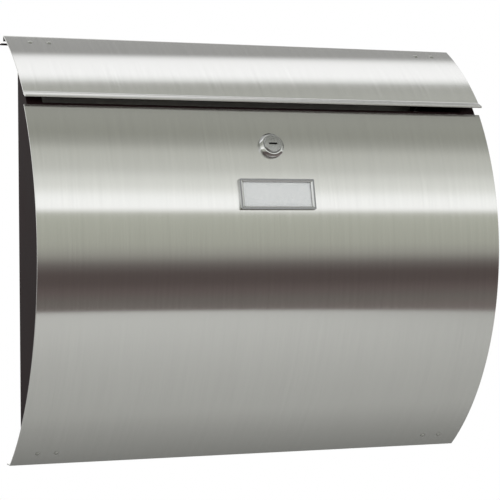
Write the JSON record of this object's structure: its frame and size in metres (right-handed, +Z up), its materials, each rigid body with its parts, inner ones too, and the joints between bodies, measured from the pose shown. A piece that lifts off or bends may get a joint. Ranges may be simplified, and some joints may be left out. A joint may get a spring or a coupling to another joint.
{
  "type": "wall mounted mailbox",
  "caption": "Shallow wall mailbox with a bowed stainless front door hinged at the bottom, a curved flap over the letter slot, a cam lock and a name plate.",
  "frame": {"origin": "middle of the four wall screw holes, on the rear face of the back panel", "axes": "+X across the box, +Y into the wall, +Z up; the door faces -Y"},
  "size_m": [0.4, 0.1046, 0.345],
  "materials": {
    "brushed_stainless": "vertical brushed grain, satin",
    "stainless_back": "mill finish, dull",
    "brown_paint": "dark brown powder coat, satin",
    "zinc_plate": "zinc plated",
    "pin_steel": "drawn wire, bright",
    "spring_steel": "oiled spring steel",
    "rivet_aluminium": "bright, lightly dulled",
    "lock_chrome": "polished",
    "lock_plug_chrome": "satin face",
    "brass": "stamped",
    "rubber": "matt",
    "frame_chrome": "satin chromed",
    "clear_window": "clear acrylic",
    "card": "pale blue-grey card, blank"
  },
  "bodies": {
    "body": {"back_panel": "stainless_back", "side_panel_left": "brown_paint", "side_panel_right": "brown_paint", "floor_panel": "brown_paint", "top_rail": "brown_paint", "slot_sill": "brown_paint", "body_rivets": "rivet_aluminium", "flap_bumpers": "rubber", "hinge_base_rivets": "rivet_aluminium", "flap_hinge_base_left": "zinc_plate", "flap_hinge_base_right": "zinc_plate", "flap_hinge_pin_left": "pin_steel", "flap_hinge_pin_right": "pin_steel", "door_hinge_base_left": "zinc_plate", "door_hinge_base_right": "zinc_plate", "door_hinge_pin_left": "pin_steel", "door_hinge_pin_right": "pin_steel"},
    "flap": {"flap_sheet": "brushed_stainless", "flap_rivets": "rivet_aluminium", "flap_hinge_leaf_left": "zinc_plate", "flap_hinge_leaf_right": "zinc_plate"},
    "door": {"door_sheet": "brushed_stainless", "door_rivets": "rivet_aluminium", "door_hinge_leaf_left": "zinc_plate", "door_hinge_leaf_right": "zinc_plate", "lock_housing": "lock_chrome", "lock_washer": "zinc_plate", "lock_nut": "zinc_plate", "nameplate_frame": "frame_chrome", "nameplate_window": "clear_window", "name_card": "card", "nameplate_clips": "spring_steel"},
    "lock_plug": {"lock_plug": "lock_plug_chrome", "lock_wafers": "brass", "lock_cam": "zinc_plate", "cam_washer": "zinc_plate", "cam_screw": "zinc_plate"}
  },
  "joints": [
    {"name": "flap_lift", "type": "hinge", "parent": "body", "child": "flap", "pos_m": [0, -0.0155, 0.1652], "axis": [-1, 0, 0], "range_deg": [0, 50]},
    {"name": "door_drop", "type": "hinge", "parent": "body", "child": "door", "pos_m": [0, -0.0228, -0.1658], "axis": [1, 0, 0], "range_deg": [0, 90]},
    {"name": "lock_turn", "type": "hinge", "parent": "door", "child": "lock_plug", "pos_m": [0, -0.08702, 0.0825], "axis": [0, -0.918, 0.3966], "range_deg": [0, 90]}
  ]
}
